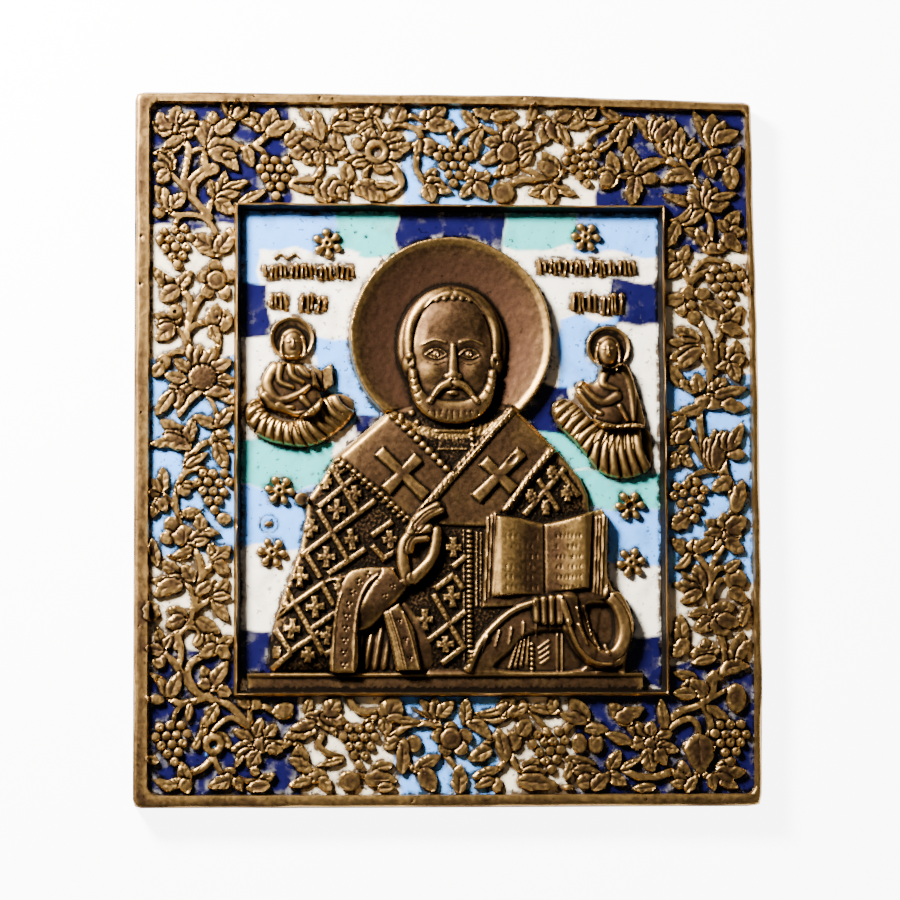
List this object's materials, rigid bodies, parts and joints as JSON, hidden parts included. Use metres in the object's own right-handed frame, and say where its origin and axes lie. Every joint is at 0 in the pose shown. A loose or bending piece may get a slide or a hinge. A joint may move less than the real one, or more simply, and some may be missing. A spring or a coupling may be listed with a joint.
{
  "type": "travel icon",
  "caption": "Small cast-brass travel icon with a saint in relief, a vine-and-grape border and fused enamel grounds.",
  "frame": {"origin": "centre of the flat back of the plate", "axes": "+X to the right of the picture, +Y up the picture, +Z out of the face"},
  "size_m": [0.098, 0.112, 0.0063],
  "materials": {
    "brass": "cast, worn bright on the high parts, brown patina in the hollows",
    "enamel": "opaque fused enamel in cobalt, light blue, turquoise and ivory, glossy"
  },
  "bodies": {
    "root": {"brass_casting": "brass", "panel_enamel": "enamel"}
  },
  "joints": []
}
